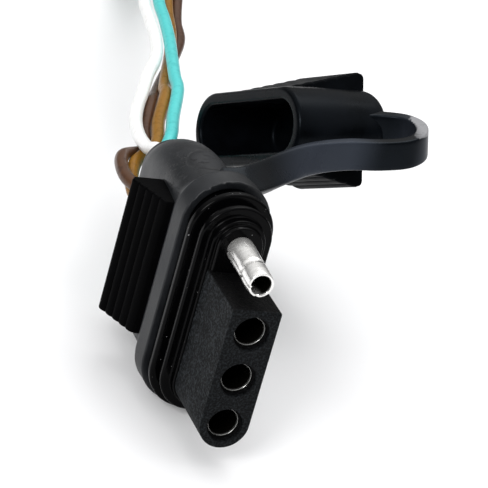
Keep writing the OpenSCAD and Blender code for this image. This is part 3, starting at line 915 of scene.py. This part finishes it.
# %% Finishes
class Finish(Tree):
    """One material: a Principled shader, and the patterns that feed it."""

    def __init__(self, name, color, roughness, metallic=0.0, **fixed):
        self.material = bpy.data.materials.new(name)
        self.material.use_nodes = True
        super().__init__(self.material.node_tree)
        self.shader = self.tree.nodes["Principled BSDF"]
        self.feed(Base_Color=(*color, 1), Roughness=roughness, Metallic=metallic, **fixed)
        self.place = self.add("ShaderNodeTexCoord", {}).outputs["Object"]

    def feed(self, **sockets):
        """Values or links for the shader's own sockets, by name."""
        for key, value in sockets.items():
            self.join(self.shader.inputs[key.replace("_", " ")], value)

    def axes(self):
        """x, y and z of the object coordinates, as numbers in metres."""
        parts = self.add("ShaderNodeSeparateXYZ", {}, self.place)
        return [Value(self, parts.outputs[k]) for k in range(3)]

    def noise(self, size, detail=3.0, rough=0.5, stretch=(1, 1, 1)):
        """Smooth noise whose lumps are about size metres across; stretch draws them out."""
        scaled = self.add("ShaderNodeMapping", {}, self.place, Scale=[1 / (size * s) for s in stretch])
        made = self.add("ShaderNodeTexNoise", {}, Vector=scaled.outputs[0], Scale=1.0, Detail=detail,
            Roughness=rough)
        return Value(self, made.outputs[0])

    def mix(self, factor, first, second):
        """A colour between two, by a number."""
        made = self.add("ShaderNodeMix", dict(data_type="RGBA"), Factor=factor)
        for socket, color in ((made.inputs[6], first), (made.inputs[7], second)):
            self.join(socket, (*color, 1) if isinstance(color, tuple) else color)
        return made.outputs[2]

    def bump(self, height, distance):
        """Fine relief: height 0 to 1 stands for distance metres."""
        return self.add("ShaderNodeBump", {}, Strength=1.0, Distance=distance, Height=height).outputs[0]


def dress(finish, *names):
    """The finish on each named piece."""
    for name in names:
        mesh = bpy.data.objects[name].data
        mesh.materials.clear()
        mesh.materials.append(finish.material)
    print(finish.material.name, "with", len(finish.tree.nodes), "nodes, on", *names)

# %% [markdown]
# ## The plastics
# All the black parts are black in their own way, and most of them share one recipe. Two close
# blacks drift into each other in slow clouds, the skin is fine noise as bump, and scuffs are
# rougher. Where a part has marks of its own, or painted light, a function gives each one as
# where, what colour and how far sunk. A dark plastic needs far less gloss than the shader's usual
# value, or the sky and the bench turn it grey.

# %% Satin plastic
def satin(name, low, high, roughness, gloss, grain, depth, specks=0.0, marks_and_painted_light=None, tint=(1, 1, 1, 1)):
    """Low to high by clouds; roughness r + 0.12 clouds + 0.18 scuffs - 0.06; the grain as bump."""
    finish = Finish(name, low, roughness, Specular_IOR_Level=gloss, Specular_Tint=tint)
    clouds = finish.noise(9 * MM, 4, 0.6).step(0.35, 0.7)
    scuffs = finish.noise(1.1 * MM, 5, 0.7, (1, 0.35, 1)).step(0.62, 0.8)
    skin = finish.noise(grain, 4, 0.6)
    color = finish.mix(clouds, low, high)
    if specks:
        dust = finish.noise(0.55 * MM, 1, 0.3).step(0.77, 0.8) * specks
        color = finish.mix(dust, color, (0.35, 0.35, 0.35))
    # Marks on the body are moulding marks; those on the strap are painted light.
    for mark_and_light_mask, mark_and_light_color, sunk in marks_and_painted_light(finish) if marks_and_painted_light else []:
        color = finish.mix(mark_and_light_mask, color, mark_and_light_color)
        skin = skin - sunk * mark_and_light_mask
    finish.feed(Base_Color=color, Roughness=roughness + 0.12 * clouds + 0.18 * scuffs - 0.06,
        Normal=finish.bump(skin, depth))
    return finish

# %% [markdown]
# ## Body, grips and seal
# The body is soft PVC with a fine satin skin. Where the plastic came in, the mould has left a dark
# ring and drag marks round it. The grips are the same moulding, painted far darker as painted
# shade, since their ribs hold no light. The seal is glossy rubber, so a few specks of dust show on it.

# %% Body, grips and seal
GATE = [0.5 * MM, 38.5 * MM, 19.5 * MM]
COAL = ((0.0008, 0.0008, 0.001), (0.0014, 0.0014, 0.0016))


def body_marks(finish):
    """On the hump, a dark ring left by the mould's gate and short drag marks round it."""
    x, y, z = finish.axes()
    far = ((x - GATE[0]) ** 2 + (y - GATE[1]) ** 2 + (z - GATE[2]) ** 2) ** 0.5
    uneven = far + finish.noise(2.5 * MM, 3, 0.6) * (1.6 * MM)
    ring = uneven.step(4.2 * MM, 4.9 * MM) * (1 - uneven.step(5.1 * MM, 5.5 * MM))
    near = 1 - far.step(5 * MM, 15 * MM)
    drags = finish.noise(0.9 * MM, 4, 0.6, (3.2, 0.7, 0.7)).step(0.56, 0.72) * near
    return [((0.45 * ring + 0.8 * drags).math("MINIMUM", 0.9), (0.004, 0.0045, 0.0055), 6)]


dress(satin("satin_charcoal_pvc", (0.0085, 0.0095, 0.011), (0.0155, 0.017, 0.0195), 0.42, 0.3,
    0.28 * MM, 0.03 * MM, marks_and_painted_light=body_marks), "body_shell")
# The grips' far darker colour is painted shade.
dress(satin("black_grip_pvc", *COAL, 0.45, 0.018, 0.3 * MM, 0.02 * MM), "grip_pads")
dress(satin("glossy_black_rubber", *COAL, 0.17, 0.07, 0.5 * MM, 0.006 * MM, 0.5), "seal")

# %% [markdown]
# ## Strap and cap
# The strap and the cap are satin too, smoother than the body, and a little blue where they catch
# the sky. A paler bloom is a painted reflection of the sky where the strap bends, and a torn, pale
# line is a painted highlight along the flash on the upper edge of its loop. Both are painted by coordinate.

# %% Strap and cap
SMOOTH_HIGH = (0.0030, 0.0038, 0.0052)


def strap_painted_light(finish):
    """A painted reflection of the sky where the strap bends, and a painted highlight along the torn flash
    on the upper edge of its loop.
    """
    x, y, z = finish.axes()
    # Painted reflection on the bends, and a painted highlight with a little flash relief on the loop's
    # upper edge.
    painted_sky_reflection = x.step(9 * MM, 22 * MM) * (1 - x.step(31 * MM, 39 * MM)) + 0.8 * x.step(44 * MM, 49.5 * MM)
    torn = finish.noise(0.7 * MM, 3, 0.6) * (0.9 * MM)
    flash_with_painted_highlight = (z + torn).step(27.05 * MM, 27.25 * MM) * x.step(43 * MM, 47.5 * MM)
    return [(painted_sky_reflection, (0.030, 0.035, 0.046), 0), (flash_with_painted_highlight * 0.9, (0.30, 0.30, 0.31), 2)]


dress(satin("satin_strap", (0.0012, 0.0016, 0.0022), SMOOTH_HIGH, 0.3, 0.12, 0.35 * MM, 0.012 * MM,
    marks_and_painted_light=strap_painted_light, tint=(0.7, 0.84, 1, 1)), "strap_at_body", "strap_loop", "strap_at_cap")
dress(satin("satin_cap", (0.0014, 0.0018, 0.0024), SMOOTH_HIGH, 0.32, 0.06, 0.35 * MM, 0.012 * MM,
    tint=(0.75, 0.87, 1, 1)), "cap_shell")
dress(satin("satin_cap_pads", (0.0016, 0.0020, 0.0026), (0.0030, 0.0038, 0.0050), 0.45, 0.015,
    0.35 * MM, 0.012 * MM), "cap_pads")

# %% [markdown]
# ## The nose's grain
# The nose is a harder plastic from a spark-eroded mould: matte, with fine pebbles. They are too
# small for the mesh, so they are bump. Little light reaches the mouths or the narrow shelf under
# the pin, and a soft lamp alone leaves both too pale, so the finish darkens them by place, as
# painted shade. The pebbles on the sides are painted paler than on the face, as painted light.

# %% Nose finish
def grained(name):
    """Pebbles, painted paler on the sides than on the face as painted light; painted shade near black in
    the mouths and on the shelf.
    """
    finish = Finish(name, (0.006, 0.0065, 0.007), 0.5, Specular_IOR_Level=0.09)
    x, y, z = finish.axes()
    pebbles = finish.noise(0.42 * MM, 3, 0.6).step(0.44, 0.64)
    patches = finish.noise(3.5 * MM, 3, 0.6).step(0.3, 0.7)
    beside = y.step(0.1 * MM, 0.5 * MM)
    # Painted light: the pebbles on the sides are paler than on the face.
    high = finish.mix(beside, (0.014, 0.0165, 0.019), (0.028, 0.032, 0.036))
    color = finish.mix(pebbles, (0.0016, 0.002, 0.0024), high)
    nearest = (z + ROW).math("WRAP", PITCH / 2, -PITCH / 2)
    across = (x ** 2 + nearest ** 2) ** 0.5
    mouths = y.step(0.15 * MM, 0.6 * MM) * (1 - across.step(3.3 * MM, 3.5 * MM))
    shelf = z.step((NOSE_TOP - 0.3) * MM, (NOSE_TOP - 0.1) * MM) * beside
    color = finish.mix(mouths.math("MAXIMUM", shelf), color, (0.0010, 0.0010, 0.0012))
    finish.feed(Base_Color=color, Roughness=0.52 + 0.12 * patches,
        Normal=finish.bump(pebbles, 0.12 * MM))
    return finish


dress(grained("grained_black_plastic"), "nose")

# %% [markdown]
# ## The tin
# The contacts are brass sheet with bright tin over it: nearly white, with soft dents from the
# rolling and grey rubbed streaks along it. It is less than fully metallic, because worn tin also
# scatters some light. The bores are darkened by depth as painted shade, since a mirror that deep
# would show the sky where the eye finds none. The sockets' tin lies deep in the mouths, so it is
# painted darker as a whole, as painted shade.

# %% Tin
def tinned(name, dark_from, bright, dull, axis_z=None):
    """Bright tin: light grey metal, streaks along it; behind one depth, no light reaches inside."""
    finish = Finish(name, bright, 0.24, 0.82)
    clouds = finish.noise(1.6 * MM, 4, 0.6).step(0.45, 0.8)
    streaks = finish.noise(0.25 * MM, 3, 0.6, (1, 9, 1)).step(0.4, 0.8)
    color = finish.mix(clouds, bright, dull)
    x, y, z = finish.axes()
    inside = y.step(dark_from, dark_from + 0.5 * MM)
    if axis_z is not None:
        across = (x ** 2 + (z - axis_z) ** 2) ** 0.5
        inside = inside * (1 - across.step(2.0 * MM, 2.2 * MM))
    color = finish.mix(inside, color, (0.010, 0.009, 0.007))
    height = 0.6 * clouds + 0.4 * streaks
    finish.feed(Base_Color=color, Roughness=0.18 + 0.12 * clouds + 0.1 * streaks,
        Normal=finish.bump(height, 0.012 * MM))
    return finish


dress(tinned("bright_tin", 1.4 * MM, (0.94, 0.93, 0.91), (0.66, 0.65, 0.63), ROW), "bullet_pin")
dress(tinned("tin_in_a_deep_bore", 1.3 * MM, (0.30, 0.30, 0.29), (0.18, 0.18, 0.175)),
    "top_sleeve", "middle_sleeve", "bottom_sleeve")

# %% [markdown]
# ## Copper and coloured PVC
# The bare strands are fresh copper with darker turns. The jackets are PVC in the four usual
# colours, with a waxy skin and faint rub marks. The dark jackets need less gloss than the light
# ones, as the black plastics do. Each lead's core from the working model takes the same copper.

# %% Copper and jackets
def jacket(name, color, dark, gloss):
    """PVC jacket: faint rub marks along the lead and a fine, waxy skin."""
    finish = Finish(name, color, 0.36, Specular_IOR_Level=gloss)
    rubs = finish.noise(1.5 * MM, 4, 0.6).step(0.45, 0.75)
    skin = finish.noise(0.4 * MM, 3, 0.5)
    finish.feed(Base_Color=finish.mix(rubs, color, dark), Roughness=0.3 + 0.16 * rubs,
        Normal=finish.bump(skin, 0.01 * MM))
    return finish


JACKETS = {
    "white": ((0.9, 0.9, 0.89), (0.82, 0.82, 0.80), 0.5),
    "brown": ((0.075, 0.032, 0.014), (0.045, 0.018, 0.009), 0.3),
    "yellow": ((0.25, 0.115, 0.009), (0.18, 0.08, 0.006), 0.25),
    "green": ((0.08, 0.56, 0.55), (0.06, 0.48, 0.47), 0.5),
}
copper = Finish("bare_copper", (0.72, 0.36, 0.20), 0.3, 1.0)
patches = copper.noise(0.8 * MM, 3, 0.6).step(0.35, 0.7)
copper.feed(Base_Color=copper.mix(patches, (0.78, 0.42, 0.25), (0.50, 0.22, 0.11)),
    Roughness=0.26 + 0.2 * patches)
dress(copper, *(colour + "_strands" for colour in JACKETS))
for colour, (light, dark, gloss) in JACKETS.items():
    dress(jacket(colour + "_pvc", light, dark, gloss), colour + "_lead")
    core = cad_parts[colour + "_core"]
    core.data.materials.clear()
    core.data.materials.append(copper.material)

# %% [markdown]
# ## The bench
# The object lies on a plain white bench at the height of its lowest point. The bench adds a little
# white of its own where the camera looks at it, so that it reads as white and still takes
# shadows. That glow lights nothing else, because only rays from the camera carry it.

# %% Bench
FLOOR_Z = cad_box[0][2]
BENCH_GLOW = 0.125
BENCH_HALF = 3.0
floor_mesh = bpy.data.meshes.new("bench")
ways = [(-1, -1), (1, -1), (1, 1), (-1, 1)]
floor_mesh.from_pydata([(x * BENCH_HALF, y * BENCH_HALF, FLOOR_Z) for x, y in ways], [], [(0, 1, 2, 3)])
bench = bpy.data.objects.new("bench", floor_mesh)
bpy.context.scene.collection.objects.link(bench)
paper = Finish("white_bench", (0.8, 0.8, 0.81), 0.9)
seen = Value(paper, paper.add("ShaderNodeLightPath", {}).outputs["Is Camera Ray"])
glow = paper.add("ShaderNodeEmission", {}, Color=(1, 1, 1, 1), Strength=seen * BENCH_GLOW)
both = paper.add("ShaderNodeAddShader", {}, paper.shader.outputs[0], glow.outputs[0])
paper.join(paper.tree.nodes["Material Output"].inputs["Surface"], both.outputs[0])
bench.data.materials.append(paper.material)
print("bench at z", round(FLOOR_Z, 4))

# %% [markdown]
# ## The light
# Two large soft lamps and a pale sky light the object, at a level where a colour renders about as
# it is written. The sky is bright overhead and dim near the horizon, so the sides of the black
# parts stay dark. The camera itself sees it as plain white.

# %% Light
world = bpy.data.worlds.new("sky")
bpy.context.scene.world = world
world.use_nodes = True
sky = Tree(world.node_tree)
upwards = sky.add("ShaderNodeTexCoord", {}).outputs["Generated"]
height = sky.add("ShaderNodeSeparateXYZ", {}, upwards).outputs[2]
smooth = dict(interpolation_type="SMOOTHSTEP")
rise = sky.add("ShaderNodeMapRange", smooth, height, 0.05, 0.85, 0.1, 0.95).outputs[0]
seen = sky.add("ShaderNodeLightPath", {}).outputs["Is Camera Ray"]
level = sky.add("ShaderNodeMix", {})
for socket, value in zip((0, 2, 3), (seen, rise, 1.0)):
    sky.join(level.inputs[socket], value)
background = sky.tree.nodes["Background"]
sky.join(background.inputs["Color"], (1, 1, 1, 1))
sky.join(background.inputs["Strength"], level.outputs[0])


def lamp(name, place, aim, size, power):
    """A square soft lamp at a place, turned to face a point."""
    data = bpy.data.lights.new(name, "AREA")
    data.shape = "RECTANGLE"
    data.size, data.size_y = size
    data.energy = power
    made = bpy.data.objects.new(name, data)
    bpy.context.scene.collection.objects.link(made)
    made.location = place
    made.rotation_euler = (Vector(aim) - Vector(place)).to_track_quat("-Z", "Y").to_euler()
    print(name, power, "W at", place)


lamp("top_lamp", (0.15, 0.25, 0.8), (0, 0.05, 0), (0.6, 0.6), 3.5)
lamp("front_lamp", (-0.62, -0.5, 0.5), (0.03, 0.07, 0.01), (0.35, 0.35), 5)

# %% [markdown]
# ## The view
# The view is plain, with no film curve, so a colour in the render is the colour that was mixed.

# %% The view
bpy.context.scene.view_settings.view_transform = "Standard"
